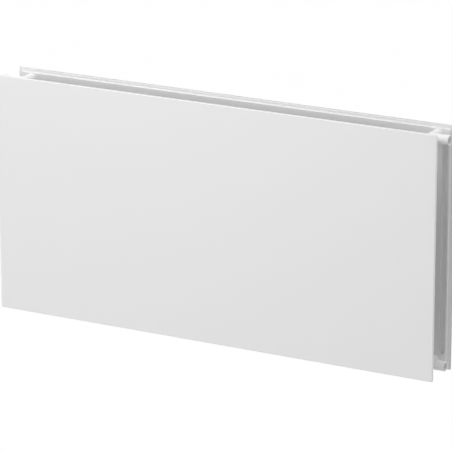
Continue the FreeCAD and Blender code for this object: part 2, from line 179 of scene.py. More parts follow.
class RadiatorStudio(bpy.types.PropertyGroup):
    """The camera, the lamps and the white surroundings."""
    camera_place: FloatVectorProperty(
        name="Camera place", description="Where the camera stands",
        default=(3.75265, -6.80619, 2.24684), **PLACE)
    camera_turn: FloatVectorProperty(
        name="Camera turn", description="The camera's rotation about X, Y and Z",
        default=(1.284646, 0.0, 0.50770), size=3, subtype="EULER", unit="ROTATION")
    lens: FloatProperty(
        name="Lens", description="Focal length of the camera in millimetres", default=263.645)
    world_level: FloatProperty(
        name="World", description="Strength of the light from all round", default=0.69)
    world_slope: FloatProperty(
        name="World slope", description="How much stronger the light is overhead than level", default=0.30)
    key_place: FloatVectorProperty(
        name="Key place", description="Where the soft lamp above stands",
        default=(-0.5, -1.2, 2.2), **PLACE)
    key_width: FloatProperty(
        name="Key width", description="Width of the soft lamp above", default=1.4, **LENGTH)
    key_watts: FloatProperty(
        name="Key power", description="Power of the soft lamp above", default=20.0, unit="POWER")
    fill_place: FloatVectorProperty(
        name="Fill place", description="Where the soft lamp on the left stands",
        default=(-3.0, -0.6, 0.8), **PLACE)
    fill_width: FloatProperty(
        name="Fill width", description="Width of the soft lamp on the left", default=1.4, **LENGTH)
    fill_watts: FloatProperty(
        name="Fill power", description="Power of the soft lamp on the left", default=10.0, unit="POWER")
    front_place: FloatVectorProperty(
        name="Front place", description="Where the low soft lamp in front stands",
        default=(-1.0, -4.0, 0.2), **PLACE)
    front_width: FloatProperty(
        name="Front width", description="Width of the low soft lamp in front", default=2.0, **LENGTH)
    front_watts: FloatProperty(
        name="Front power", description="Power of the low soft lamp in front", default=34.0, unit="POWER")
    back_place: FloatVectorProperty(
        name="Back place", description="Where the soft lamp behind stands",
        default=(2.4, 2.6, 0.5), **PLACE)
    back_width: FloatProperty(
        name="Back width", description="Width of the soft lamp behind", default=0.8, **LENGTH)
    back_watts: FloatProperty(
        name="Back power", description="Power of the soft lamp behind", default=26.0, unit="POWER")
    floor_tone: FloatProperty(
        name="Floor tone", description="How much of the light the floor gives back", default=0.50, **SHARE)
    floor_drop: FloatProperty(
        name="Floor drop", description="From the radiator's lower edge to the floor", default=1.1, **LENGTH)
    floor_white: FloatProperty(
        name="Floor white", description="Share of plain white in the floor as it is seen",
        default=0.94, **SHARE)
    floor_glow: FloatProperty(
        name="Floor glow", description="Strength of the floor's plain white", default=1.03)


def panels():
    return bpy.context.scene.radiator_panels


def fittings():
    return bpy.context.scene.radiator_fittings


def finish_values():
    return bpy.context.scene.radiator_finish


def studio():
    return bpy.context.scene.radiator_studio


# ---------------------------------------------------------------- shader building

class Value:
    """A shader socket that Python arithmetic can work on; each operation adds its Math node."""

    def __init__(self, recipe, socket):
        self.recipe = recipe
        self.socket = socket

    def _math(self, operation, first, second):
        node = self.recipe.add("ShaderNodeMath", {"operation": operation}, {0: first, 1: second})
        return Value(self.recipe, node.outputs[0])

    def __add__(self, other):
        return self._math("ADD", self, other)

    def __radd__(self, other):
        return self._math("ADD", other, self)

    def __mul__(self, other):
        return self._math("MULTIPLY", self, other)


class NodeMaker:
    """One node tree, and the one method that makes its nodes."""

    def __init__(self, tree):
        self.tree = tree

    def add(self, kind, settings=None, inputs=None):
        node = self.tree.nodes.new(kind)
        for key, value in (settings or {}).items():
            setattr(node, key, value)
        for key, value in (inputs or {}).items():
            source = value.socket if isinstance(value, Value) else value
            if isinstance(source, bpy.types.NodeSocket):
                self.tree.links.new(source, node.inputs[key])
            else:
                node.inputs[key].default_value = source
        return node


class Recipe(NodeMaker):
    """The nodes of one material or world."""

    def __init__(self, owner):
        owner.use_nodes = True
        super().__init__(owner.node_tree)
        self.owner = owner
        self.tree.nodes.clear()

    def value(self, kind, settings=None, inputs=None, output=0):
        return Value(self, self.add(kind, settings, inputs).outputs[output])

    def place(self):
        return self.value("ShaderNodeTexCoord", output="Object")

    def noise(self, scale, detail):
        return self.value("ShaderNodeTexNoise", None,
                          {"Vector": self.place(), "Scale": scale, "Detail": detail})

    def shade(self, low, high, mask):
        """A colour between two others."""
        blend = {"data_type": "RGBA", "blend_type": "MIX"}
        return self.value("ShaderNodeMix", blend, {0: mask, 6: (*low, 1), 7: (*high, 1)}, output=2)

    def surface(self, steady, varying, bump=None):
        """The Principled shader: steady holds plain numbers, varying what changes over the surface."""
        inputs = dict(steady, **varying)
        if bump is not None:
            height, distance = bump
            inputs["Normal"] = self.value("ShaderNodeBump", None, {"Height": height, "Distance": distance})
        shader = self.value("ShaderNodeBsdfPrincipled", None, inputs)
        self.add("ShaderNodeOutputMaterial", None, {"Surface": shader})
        return self.owner


class GeometryRecipe(NodeMaker):
    """One Geometry Nodes tree with its inputs, its Material input and its one output."""

    def __init__(self, name, inputs):
        super().__init__(bpy.data.node_groups.new(name, "GeometryNodeTree"))
        face = self.tree.interface
        for label, kind in (*inputs, ("Material", "Material")):
            face.new_socket(label, in_out="INPUT", socket_type="NodeSocket" + kind)
        face.new_socket("Result", in_out="OUTPUT", socket_type="NodeSocketGeometry")
        self.given = self.add("NodeGroupInput").outputs

    def spread(self, points, thing, inputs=None):
        """Copies of an object on points, made real."""
        source = self.add("GeometryNodeObjectInfo", {"transform_space": "ORIGINAL"}, {"Object": thing})
        placed = self.add("GeometryNodeInstanceOnPoints", None,
                          {"Points": points, "Instance": source.outputs["Geometry"], **(inputs or {})})
        return self.add("GeometryNodeRealizeInstances", None, {"Geometry": placed.outputs[0]})

    def finished(self, last):
        """Set the material on what the last node gives, and end the tree."""
        painted = self.add("GeometryNodeSetMaterial", None,
                           {"Geometry": last.outputs[0], "Material": self.given["Material"]})
        self.add("NodeGroupOutput", None, {0: painted.outputs[0]})
        return self.tree


def scaled(colour, factor):
    return tuple(min(1.0, channel * factor) for channel in colour)


def powder_coat(name, colour, gloss):
    """Baked white powder: a fine orange peel, and a white that drifts a little from place to place."""
    recipe = Recipe(bpy.data.materials.new(name))
    drift = recipe.noise(2.2, 2.0)
    speck = recipe.noise(420.0, 2.0)
    peel = recipe.noise(620.0, 1.0) * 0.7 + recipe.noise(210.0, 2.0) * 0.3
    base = recipe.shade(scaled(colour, 0.985), scaled(colour, 1.01), drift * 0.8 + speck * 0.2)
    roughness = gloss + drift * 0.05 + speck * 0.04
    return recipe.surface({"Specular IOR Level": 0.45, "IOR": 1.5},
                          {"Base Color": base, "Roughness": roughness}, (peel, finish_values().peel))


def plated_metal(name, colour, gloss, centre):
    """Turned and plated metal: fine rings round the port's axis, and a faintly uneven shine."""
    recipe = Recipe(bpy.data.materials.new(name))
    from_centre = recipe.value("ShaderNodeMapping", {"vector_type": "POINT"},
                               {"Vector": recipe.place(), "Location": tuple(-c for c in centre)})
    rings = recipe.value("ShaderNodeTexWave",
                         {"wave_type": "RINGS", "rings_direction": "X", "wave_profile": "SIN"},
                         {"Vector": from_centre, "Scale": 320.0, "Distortion": 0.6, "Detail": 1.0})
    cloud = recipe.noise(160.0, 3.0)
    base = recipe.shade(scaled(colour, 0.88), scaled(colour, 1.06), cloud)
    roughness = gloss + rings * 0.07 + cloud * 0.08
    return recipe.surface({"Metallic": 1.0}, {"Base Color": base, "Roughness": roughness},
                          (rings * 0.6 + cloud * 0.4, 0.006 * MM))


def moulded_plastic(name, colour, gloss):
    """Moulded nylon: an eggshell grain and faint flow marks."""
    recipe = Recipe(bpy.data.materials.new(name))
    grain = recipe.noise(900.0, 2.0)
    flow = recipe.noise(60.0, 3.0)
    base = recipe.shade(scaled(colour, 0.95), scaled(colour, 1.03), flow)
    return recipe.surface({"Specular IOR Level": 0.4}, {"Base Color": base, "Roughness": gloss + grain * 0.1},
                          (grain * 0.8 + flow * 0.2, 0.02 * MM))


def ring_rubber(name, colour):
    """Sealing rubber: matt, with a dusty bloom."""
    recipe = Recipe(bpy.data.materials.new(name))
    bloom = recipe.noise(350.0, 3.0)
    base = recipe.shade(colour, scaled(colour, 2.2), bloom)
    return recipe.surface({"Specular IOR Level": 0.35}, {"Base Color": base, "Roughness": 0.62 + bloom * 0.2},
                          (bloom, 0.03 * MM))


def port_mouth(row, end):
    """The middle of a port's mouth."""
    low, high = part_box(f"tee_{row}_{end}")
    outer = high.x if end == "right" else low.x
    return Vector((outer, (low.y + high.y) / 2, (low.z + high.z) / 2))


def tee_tube(row, end):
    """The middle of the tube between the panels, and its radius."""
    low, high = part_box(f"tee_{row}_{end}")
    radius = (high.z - low.z) / 2
    mouth = port_mouth(row, end)
    across = low.x + radius if end == "right" else high.x - radius
    return Vector((across, mouth.y, mouth.z)), radius


MATERIALS = {}


def make_materials():
    colours = finish_values()
    vent = port_mouth("top", "left")
    blind = port_mouth("bottom", "left")
    MATERIALS.update({
        "plate_paint": powder_coat("cover_white", colours.paint, 0.40),
        "panel_paint": powder_coat("panel_white", colours.paint, 0.44),
        # The tee material is the panels' white powder coat made brighter, as painted light for the tees' lit
        # tops; the tee weld beads share it.
        "tee_paint": powder_coat("tee_white", colours.tee_paint, 0.38),
        "bracket_paint": powder_coat("bracket_white", scaled(colours.paint, 0.97), 0.46),
        "nickel": plated_metal("vent_nickel", colours.nickel, 0.20, vent),
        "blind_nickel": plated_metal("blind_nickel", colours.nickel, 0.20, blind),
        "screw_steel": plated_metal("turned_screw", colours.screw, 0.26, vent),
        "spout_plastic": moulded_plastic("spout_nylon", scaled(colours.nylon, 1.12), 0.42),
        "nylon": moulded_plastic("liner_nylon", colours.nylon, 0.48),
        "seal_rubber": ring_rubber("ring_rubber", colours.rubber),
    })


# ---------------------------------------------------------------- mesh helpers

def new_piece(name, mesh):
    piece = bpy.data.objects.new(name, mesh)
    bpy.context.scene.collection.objects.link(piece)
    return piece


def mesh_from(name, build):
    """A mesh filled in by build, with its doubles merged and smooth faces parted at sharp edges."""
    shape = bmesh.new()
    build(shape)
    bmesh.ops.remove_doubles(shape, verts=shape.verts, dist=0.002 * MM)
    bmesh.ops.recalc_face_normals(shape, faces=shape.faces)
    mesh = bpy.data.meshes.new(name)
    shape.to_mesh(mesh)
    shape.free()
    return smooth(mesh)


def smooth(mesh):
    mesh.polygons.foreach_set("use_smooth", [True] * len(mesh.polygons))
    mesh.set_sharp_from_angle(angle=SHARP)
    return mesh


def settled_mesh(piece):
    """What a piece with live modifiers comes to, as a plain mesh."""
    graph = bpy.context.evaluated_depsgraph_get()
    mesh = bpy.data.meshes.new_from_object(piece.evaluated_get(graph))
    mesh.name = piece.name
    return mesh


def settle(piece):
    """Turn a mesh piece with live modifiers into a plain one."""
    mesh = settled_mesh(piece)
    piece.modifiers.clear()
    piece.data = mesh
    return piece


def attach(piece, tree, values):
    """Put a tree on a piece and set its inputs by identifier."""
    modifier = piece.modifiers.new(tree.name, "NODES")
    modifier.node_group = tree
    for item in tree.interface.items_tree:
        if item.item_type == "SOCKET" and item.in_out == "INPUT" and item.name in values:
            modifier[item.identifier] = values[item.name]
    return piece


def lay(mesh, level, faces_wall):
    """Move a mesh made on Y = 0 to its level, turned round where it faces the room."""
    turn = Matrix.Identity(4) if faces_wall else Matrix.Rotation(math.pi, 4, "Z")
    mesh.transform(Matrix.Translation((0, level, 0)) @ turn)
    smooth(mesh)


def dress(piece, slot, material=None):
    piece.data.materials.clear()
    piece.data.materials.append(MATERIALS[material or slot])


def deliver(piece, body, slot, nodes=(), material=None):
    """Give a finished piece its material, its body and the CAD nodes that it stands for."""
    dress(piece, slot, material)
    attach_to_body(piece, body)
    if nodes:
        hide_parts(*nodes)


def rounded_rectangle(half_x, half_z, radius, steps, y):
    """Points round an upright rectangle with round corners, from its right-hand lower corner."""
    points = []
    corners = ((1, -1, -90), (1, 1, 0), (-1, 1, 90), (-1, -1, 180))
    for sign_x, sign_z, start in corners:
        centre = Vector((sign_x * (half_x - radius), y, sign_z * (half_z - radius)))
        points += [centre + radius * Vector((math.cos(a), 0, math.sin(a))) for a in sweep(start, 90, steps)]
    return points


def sweep(start, degrees, steps):
    """The angles along an arc, both ends included."""
    return [math.radians(start + degrees * step / steps) for step in range(steps + 1)]


def full_turn(count):
    """The angles of a ring's points."""
    return [math.tau * step / count for step in range(count)]


def bridge(shape, lower, upper):
    """Quads between two closed rings of as many vertices."""
    count = len(lower)
    for index in range(count):
        after = (index + 1) % count
        shape.faces.new((lower[index], lower[after], upper[after], upper[index]))


def ring_stack(shape, rings):
    """Vertices for each ring of 3D points, bridged in turn; returns the vertex rings."""
    stacked = [[shape.verts.new(point) for point in ring] for ring in rings]
    for lower, upper in zip(stacked, stacked[1:]):
        bridge(shape, lower, upper)
    return stacked


def soft_step(low, high, run, radius, steps):
    """A pressed S profile from (0, low) to (run, high): pairs of distance and height.

    Both bends have the given radius, and the straight between them touches both.
    """
    rise = high - low
    bend = math.atan2(rise, run)
    tangent = radius * math.tan(bend / 2)
    arc = []
    for step in range(steps + 1):
        angle = bend * step / steps
        arc.append((radius * math.sin(angle), radius * (1 - math.cos(angle))))
    points = [(across - tangent, low + up) for across, up in arc]
    if math.hypot(run, rise) > 2 * tangent:
        points.append((run / 2, low + rise / 2))
    return points + [(run + tangent - across, high - up) for across, up in reversed(arc)]


# ---------------------------------------------------------------- pressed panels

def groove_ring(inset, height, half_run, steps):
    """One closed ring of a groove: a slot outline drawn in from the groove's mouth."""
    radius = panels().groove / 2 - inset
    straight = half_run - panels().groove / 2
    ring = []
    for middle, start in ((straight, 0), (-straight, 180)):
        ring += [Vector((radius * math.cos(a), height, middle + radius * math.sin(a)))
                 for a in sweep(start, 180, steps)]
    return ring


def groove_profile():
    """How a groove falls from the face (inset 0) to its floor: pairs of inset and height."""
    sizes = panels()
    face = pan_height()
    run = (sizes.groove - sizes.groove_floor) / 2
    falling = soft_step(0, face - sizes.skin, run, sizes.press_radius, finish_values().arc_steps)
    return [(inset, face - drop) for inset, drop in falling]


def pan_height():
    low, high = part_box("rear_panel_front_sheet")
    return high.y - low.y


def build_groove(shape, half_run):
    """One groove about X = 0, its face ring first and its floor closed."""
    steps = 2 * finish_values().arc_steps
    profile = groove_profile()
    profile = [(profile[0][0] - GROOVE_LIP, profile[0][1])] + profile
    rings = [groove_ring(inset, height, half_run, steps) for inset, height in profile]
    rings.append(groove_ring(profile[-1][0] + GROOVE_LIP, profile[-1][1], half_run, steps))
    stacked = ring_stack(shape, rings)
    shape.faces.new(stacked[-1])


def pan_rings(half_x, half_z, foot_x, foot_z, rim):
    """The rim, side and top edge of a pressed pan, from the seam plane up to the face."""
    sizes = panels()
    steps = finish_values().arc_steps
    margin, edge, least_radius = 0.3 * MM, 0.25 * MM, 0.8 * MM
    profile = [(0, 0), (0, rim - edge), (edge, rim)]
    rim_in = min(half_x - foot_x, half_z - foot_z)
    rise = soft_step(rim, pan_height(), sizes.lean, sizes.press_radius, steps)
    profile.append((rim_in + rise[0][0] - margin, rim))
    profile += [(rim_in + inset, height) for inset, height in rise]
    profile.append((rim_in + rise[-1][0] + margin, pan_height()))
    rings = []
    for inset, height in profile:
        on_rim = inset < rim_in / 2
        radius = max(sizes.corner - inset, least_radius) if on_rim else sizes.pan_corner - (inset - rim_in)
        rings.append(rounded_rectangle(half_x - inset, half_z - inset, radius, steps, height))
    return rings


def flat_with_holes(shape, border, holes, height):
    """Fill the flat between a border and the holes in it, all lists of (x, z)."""
    points, edges = [], []
    for outline in [border] + holes:
        first = len(points)
        points += [Vector((p[0], p[1])) for p in outline]
        edges += [(first + i, first + (i + 1) % len(outline)) for i in range(len(outline))]
    found = geometry.delaunay_2d_cdt(points, edges, [], 1, 1e-7)
    verts = [shape.verts.new((p.x, height, p.y)) for p in found[0]]
    for face in found[2]:
        middle = sum((found[0][i] for i in face), Vector((0, 0))) / len(face)
        if not any(inside(middle, hole) for hole in holes):
            shape.faces.new([verts[i] for i in face])


def inside(point, outline):
    """True where a point lies in a closed outline of (x, z)."""
    within = False
    for (x0, z0), (x1, z1) in zip(outline, outline[1:] + outline[:1]):
        if (z0 > point.y) != (z1 > point.y):
            if point.x < x0 + (point.y - z0) / (z1 - z0) * (x1 - x0):
                within = not within
    return within


def groove_centres():
    """How many grooves a full-length panel has, and where the first one is."""
    sizes = panels()
    low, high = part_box("rear_panel_back_sheet")
    each_side = math.floor(((high.x - low.x) / 2 - sizes.end_margin) / sizes.pitch)
    return 2 * each_side + 1, -each_side * sizes.pitch


def sheet_shell(node):
    """A pressed sheet without its grooves, seam at Y = 0 and raised side towards +Y."""
    high, back_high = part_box(node)[1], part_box("rear_panel_back_sheet")[1]
    half_x, half_z = high.x, high.z
    sizes = panels()
    foot_x, foot_z = back_high.x - sizes.foot, back_high.z - sizes.foot
    if node == "front_panel_front_sheet":
        foot_x, foot_z = (half - sizes.foot + sizes.front_step for half in (half_x, half_z))
    half_run = back_high.z - sizes.header
    count, first = groove_centres()
    rim = sizes.hem if node in ("front_panel_back_sheet", "rear_panel_front_sheet") else sizes.skin

    def build(shape):
        rings = pan_rings(half_x, half_z, foot_x, foot_z, rim)
        ring_stack(shape, rings)
        mouth = groove_ring(-GROOVE_LIP, 0, half_run, 2 * finish_values().arc_steps)
        holes = [[(p.x + first + index * sizes.pitch, p.z) for p in mouth] for index in range(count)]
        flat_with_holes(shape, [(p.x, p.z) for p in rings[-1]], holes, pan_height())

    return build, half_run


def groove_tree():
    """Geometry Nodes: a row of grooves merged into a pressed sheet."""
    make = GeometryRecipe("groove_row", (("Sheet", "Geometry"), ("Groove", "Object"), ("Count", "Int"),
                                         ("First", "Vector"), ("Step", "Vector")))
    row = make.add("GeometryNodeMeshLine", {"mode": "OFFSET"},
                   {"Count": make.given["Count"], "Start Location": make.given["First"],
                    "Offset": make.given["Step"]})
    solid = make.spread(row.outputs[0], make.given["Groove"])
    joined = make.add("GeometryNodeJoinGeometry")
    for part in (make.given["Sheet"], solid.outputs[0]):
        make.tree.links.new(part, joined.inputs[0])
    return make.finished(make.add("GeometryNodeMergeByDistance", None,
                                  {"Geometry": joined.outputs[0], "Distance": 0.01 * MM}))


def pressed_sheet(node, tree, faces_wall):
    """One finished sheet of a water panel."""
    sizes = panels()
    build, half_run = sheet_shell(node)
    groove = new_piece("one_groove", mesh_from("one_groove", lambda shape: build_groove(shape, half_run)))
    sheet = new_piece(node + "_pressing", mesh_from(node, build))
    count, first = groove_centres()
    settle(attach(sheet, tree, {
        "Groove": groove, "Count": count, "First": (first, 0, 0), "Step": (sizes.pitch, 0, 0),
        "Material": MATERIALS["panel_paint"],
    }))
    bpy.data.objects.remove(groove)
    thicken(sheet, sizes.skin)
    low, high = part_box(node)
    lay(sheet.data, low.y if faces_wall else high.y, faces_wall)
    deliver(sheet, "radiator", "panel_paint", [node])


def thicken(piece, thickness):
    """Give an open shell its wall, inwards from its outer face."""
    shape = bmesh.new()
    shape.from_mesh(piece.data)
    bmesh.ops.recalc_face_normals(shape, faces=shape.faces)
    up = sum(face.normal.y * face.calc_area() for face in shape.faces)
    if up < 0:
        bmesh.ops.reverse_faces(shape, faces=shape.faces)
    shape.to_mesh(piece.data)
    shape.free()
    wall = piece.modifiers.new("wall", "SOLIDIFY")
    wall.thickness = thickness * WALL_SHARE
    wall.offset = -1
    return settle(piece)


class RADIATOR_OT_panels(bpy.types.Operator):
    """Press the four sheets of the two water panels"""
    bl_idname = "radiator.panels"
    bl_label = "Water panels"

    def execute(self, context):
        tree = groove_tree()
        for panel in ("front", "rear"):
            pressed_sheet(f"{panel}_panel_front_sheet", tree, False)
            pressed_sheet(f"{panel}_panel_back_sheet", tree, True)
        return {"FINISHED"}


# ---------------------------------------------------------------- cover plate

class RADIATOR_OT_cover(bpy.types.Operator):
    """Fold the smooth cover plate"""
    bl_idname = "radiator.cover"
    bl_label = "Cover plate"

    def execute(self, context):
        sizes = panels()
        low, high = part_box("front_plate")
        steps = finish_values().arc_steps
        outer, inner = sizes.fold_radius, sizes.fold_radius - sizes.skin
        back, face = high.y, low.y
        path = [(0, back), (0, face + outer)]
        for angle in sweep(0, 90, steps)[1:]:
            path.append((outer * (1 - math.cos(angle)), face + outer * (1 - math.sin(angle))))
        margin = 0.6 * MM
        path.append((outer + margin, face))
        hollow = [(sizes.skin, back), (sizes.skin, face + outer), (sizes.skin + inner, face + sizes.skin)]

        def build(shape):
            outside = ring_stack(shape, self.rings(high, path, steps))
            shape.faces.new(outside[-1])
            inside_rings = ring_stack(shape, self.rings(high, hollow, steps))
            shape.faces.new(inside_rings[-1])
            bridge(shape, outside[0], inside_rings[0])

        plate = new_piece("cover_plate", mesh_from("cover_plate", build))
        deliver(plate, "radiator", "plate_paint", ["front_plate"])
        return {"FINISHED"}

    def rings(self, high, profile, steps):
        corner, least_radius = panels().corner, 0.4 * MM
        return [rounded_rectangle(high.x - inset, high.z - inset, max(corner - inset, least_radius), steps, y)
                for inset, y in profile]


# ---------------------------------------------------------------- tees and welds

def turned_ring(radii, along):
    """A ring of points about Z, one for each radius."""
    return [Vector((r * math.cos(a), r * math.sin(a), along)) for a, r in zip(full_turn(len(radii)), radii)]


def turned(name, rings, axis_turn, centre):
    """A closed shape of rings about Z, turned and moved to its place."""
    def build(shape):
        stacked = ring_stack(shape, rings)
        shape.faces.new(stacked[0])
        shape.faces.new(stacked[-1])
    mesh = mesh_from(name, build)
    mesh.transform(Matrix.Translation(centre) @ axis_turn)
    return new_piece(name, mesh)


def lathe(name, profile, axis_turn, centre):
    """A turned shape: profile is pairs of radius and distance along the axis."""
    rings = [turned_ring([radius] * ROUND, along) for radius, along in profile]
    return turned(name, rings, axis_turn, centre)


def thread_core(axis_turn, centre):
    """The shape that a tap cuts: a cone at the mouth, then a spiral ridge that fades out at the far end."""
    sizes = fittings()
    segments = 48
    per_turn = 6
    rows = int(sizes.thread_length / sizes.thread_pitch * per_turn)
    outside = 1 * MM
    mouth_radius = sizes.thread_root + sizes.lead_in
    rings = [turned_ring([mouth_radius] * segments, outside)]
    for row in range(rows + 1):
        along = sizes.thread_length * row / rows
        fade = min(1.0, (rows - row) / per_turn)
        radii = []
        for step in range(segments):
            turn = along / sizes.thread_pitch - step / segments
            saw = abs(2 * (turn - math.floor(turn)) - 1)
            radius = sizes.thread_crest + (sizes.thread_root - sizes.thread_crest) * saw * fade
            radii.append(max(radius, mouth_radius - along))
        rings.append(turned_ring(radii, -along))
    return turned("thread", rings, axis_turn, centre)


def boolean(piece, tool, operation):
    cut = piece.modifiers.new(operation, "BOOLEAN")
    cut.operation = operation
    cut.solver = "EXACT"
    cut.object = tool
    settle(piece)
    bpy.data.objects.remove(tool)


def rounded_end(radius, along, rounding, steps):
    """The outer edge of a turned end, from the side to the end face."""
    return [(radius - rounding * (1 - math.cos(a)), along - rounding * (1 - math.sin(a)))
            for a in sweep(0, 90, steps)]


def make_tee(row, end):
    """One corner tee: a tube between the panels, a side arm, and the port's thread."""
    sizes = fittings()
    node = f"tee_{row}_{end}"
    low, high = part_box(node)
    centre, radius = tee_tube(row, end)
    mouth = port_mouth(row, end)
    reach = abs(mouth.x - centre.x)
    half_gap = (high.y - low.y) / 2
    along_x = Matrix.Rotation(SIDE[end] * math.pi / 2, 4, "Y")
    along_y = Matrix.Rotation(math.pi / 2, 4, "X")
    tee = lathe(node + "_casting", [(radius, -half_gap), (radius, half_gap)], along_y, centre)
    inner_end = -0.2 * radius
    arm = [(radius, inner_end)] + rounded_end(radius, reach, sizes.mouth_rounding, 4)
    water_way = [(sizes.bore, -2 * half_gap), (sizes.bore, 2 * half_gap)]
    branch = [(sizes.bore, 0), (sizes.bore, 2 * reach)]
    boolean(tee, lathe("arm", arm, along_x, centre), "UNION")
    boolean(tee, lathe("water_way", water_way, along_y, centre), "DIFFERENCE")
    boolean(tee, lathe("branch", branch, along_x, centre), "DIFFERENCE")
    boolean(tee, thread_core(along_x, mouth), "DIFFERENCE")
    smooth(tee.data)
    deliver(tee, "radiator", "tee_paint", [node])


def circle_path(centre, radius):
    """A closed ring of points about Y."""
    return [centre + Vector((radius * math.cos(a), 0, radius * math.sin(a))) for a in full_turn(ROUND)]


def saddle_path(centre, radius, side):
    """Where the side arm meets the tube: two half ellipses that meet at 45 degrees."""
    points = []
    for angle in full_turn(ROUND):
        across, up = radius * math.cos(angle), radius * math.sin(angle)
        points.append(centre + Vector((side * abs(across), across, up)))
    return points


def bead_curve(name, paths):
    curve = bpy.data.curves.new(name, "CURVE")
    curve.dimensions = "3D"
    for points, closed, share in paths:
        spline = curve.splines.new("POLY")
        spline.points.add(len(points) - 1)
        for place, point in zip(spline.points, points):
            place.co = (*point, 1)
            place.radius = share
        spline.use_cyclic_u = closed
    return new_piece(name, curve)


def bead_tree():
    """Geometry Nodes: a rippled weld bead along each path."""
    make = GeometryRecipe("weld_bead", (("Path", "Geometry"), ("Radius", "Float"), ("Ripple", "Float")))
    swelling = 0.10

    def maths(operation, *inputs):
        return make.add("ShaderNodeMath", {"operation": operation}, dict(enumerate(inputs))).outputs[0]

    fine = make.add("GeometryNodeResampleCurve", {"mode": "LENGTH"},
                    {"Curve": make.given["Path"], "Length": 0.55 * MM})
    along = make.add("GeometryNodeSplineParameter").outputs["Length"]
    phase = maths("MULTIPLY", maths("DIVIDE", along, make.given["Ripple"]), math.tau)
    swell = maths("MULTIPLY_ADD", maths("SINE", phase), swelling, 1.0)
    size = maths("MULTIPLY", swell, make.add("GeometryNodeInputRadius").outputs[0])
    ring = make.add("GeometryNodeCurvePrimitiveCircle", {"mode": "RADIUS"},
                    {"Resolution": 10, "Radius": make.given["Radius"]})
    bead = make.add("GeometryNodeCurveToMesh", None,
                    {"Curve": fine.outputs[0], "Profile Curve": ring.outputs[0], "Scale": size,
                     "Fill Caps": True})
    shaded = make.add("GeometryNodeSetShadeSmooth", None, {"Geometry": bead.outputs[0]})
    return make.finished(make.add("GeometryNodeRealizeInstances", None, {"Geometry": shaded.outputs[0]}))


class RADIATOR_OT_tees(bpy.types.Operator):
    """Make the four corner tees, with the threads in their ports"""
    bl_idname = "radiator.tees"
    bl_label = "Corner tees"

    def execute(self, context):
        for row in ROWS:
            for end in ENDS:
                make_tee(row, end)
        return {"FINISHED"}


def tee_beads():
    """Bead paths where the tees meet the panels, and where each arm leaves its tube."""
    from_panel, proud = 0.4 * MM, 0.2 * MM
    paths = []
    for row in ROWS:
        for end in ENDS:
            low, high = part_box(f"tee_{row}_{end}")
            centre, radius = tee_tube(row, end)
            for face in (low.y + from_panel, high.y - from_panel):
                paths.append((circle_path(Vector((centre.x, face, centre.z)), radius + proud), True, 1.0))
            paths.append((saddle_path(centre, radius - proud, SIDE[end]), True, 0.6))
    return paths


def lug_beads():
    """Bead paths down the outer edges of each lug's feet."""
    from_panel, from_end = 0.5 * MM, 4 * MM
    paths = []
    for level in LEVELS:
        for end in ENDS:
            low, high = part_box(f"lug_{level}_{end}")
            for across in (low.x, high.x):
                ends = (low.z + from_end, high.z - from_end)
                paths.append(([Vector((across, high.y - from_panel, up)) for up in ends], False, 1.0))
    return paths


class RADIATOR_OT_welds(bpy.types.Operator):
    """Lay the weld beads round the tees and along the lugs"""
    bl_idname = "radiator.welds"
    bl_label = "Weld beads"

    def execute(self, context):
        sizes = fittings()
        tree = bead_tree()
        for name, slot, paths in (("tee_weld_beads", "tee_paint", tee_beads()),
                                  ("lug_weld_beads", "panel_paint", lug_beads())):
            values = {"Radius": sizes.bead, "Ripple": sizes.ripple, "Material": MATERIALS[slot]}
            beads = as_mesh_piece(attach(bead_curve(name, paths), tree, values))
            deliver(beads, "radiator", slot)
        return {"FINISHED"}


def as_mesh_piece(piece):
    """A mesh object in place of a curve object with live modifiers."""
    mesh = settled_mesh(piece)
    name = piece.name
    bpy.data.objects.remove(piece)
    return new_piece(name, mesh)


# ---------------------------------------------------------------- softened CAD pieces

def softened(node, name, width):
    """A copy of a CAD node with its flats joined up and its edges rounded."""
    shape = bmesh.new()
    shape.from_mesh(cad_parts[node].data)
    bmesh.ops.remove_doubles(shape, verts=shape.verts, dist=0.005 * MM)
    bmesh.ops.dissolve_limit(shape, angle_limit=FLAT_WITHIN, verts=shape.verts, edges=shape.edges)
    mesh = bpy.data.meshes.new(name)
    shape.to_mesh(mesh)
    shape.free()
    piece = new_piece(name, mesh)
    edge = piece.modifiers.new("edge", "BEVEL")
    edge.width = width
    edge.segments = 3
    edge.limit_method = "ANGLE"
    edge.angle_limit = BEVEL_OVER
    edge.harden_normals = False
    settle(piece)
    smooth(piece.data)
    return piece


class RADIATOR_OT_lugs(bpy.types.Operator):
    """Make the four hanging lugs on the radiator's back"""
    bl_idname = "radiator.lugs"
    bl_label = "Hanging lugs"

    def execute(self, context):
        for level in LEVELS:
            for end in ENDS:
                node = f"lug_{level}_{end}"
                deliver(softened(node, node + "_strap", 0.7 * MM), "radiator", "panel_paint", [node])
        return {"FINISHED"}


class RADIATOR_OT_brackets(bpy.types.Operator):
    """Make the wall rails and the nylon liners in their hooks"""
    bl_idname = "radiator.brackets"
    bl_label = "Wall brackets"

    def execute(self, context):
        for end in ENDS:
            rail = f"wall_bracket_{end}"
            deliver(softened(rail, rail + "_rail", 0.8 * MM), "brackets", "bracket_paint", [rail])
            for level in LEVELS:
                node = f"hook_liner_{level}_{end}"
                deliver(softened(node, node + "_shoe", 0.4 * MM), "brackets", "nylon", [node])
        return {"FINISHED"}


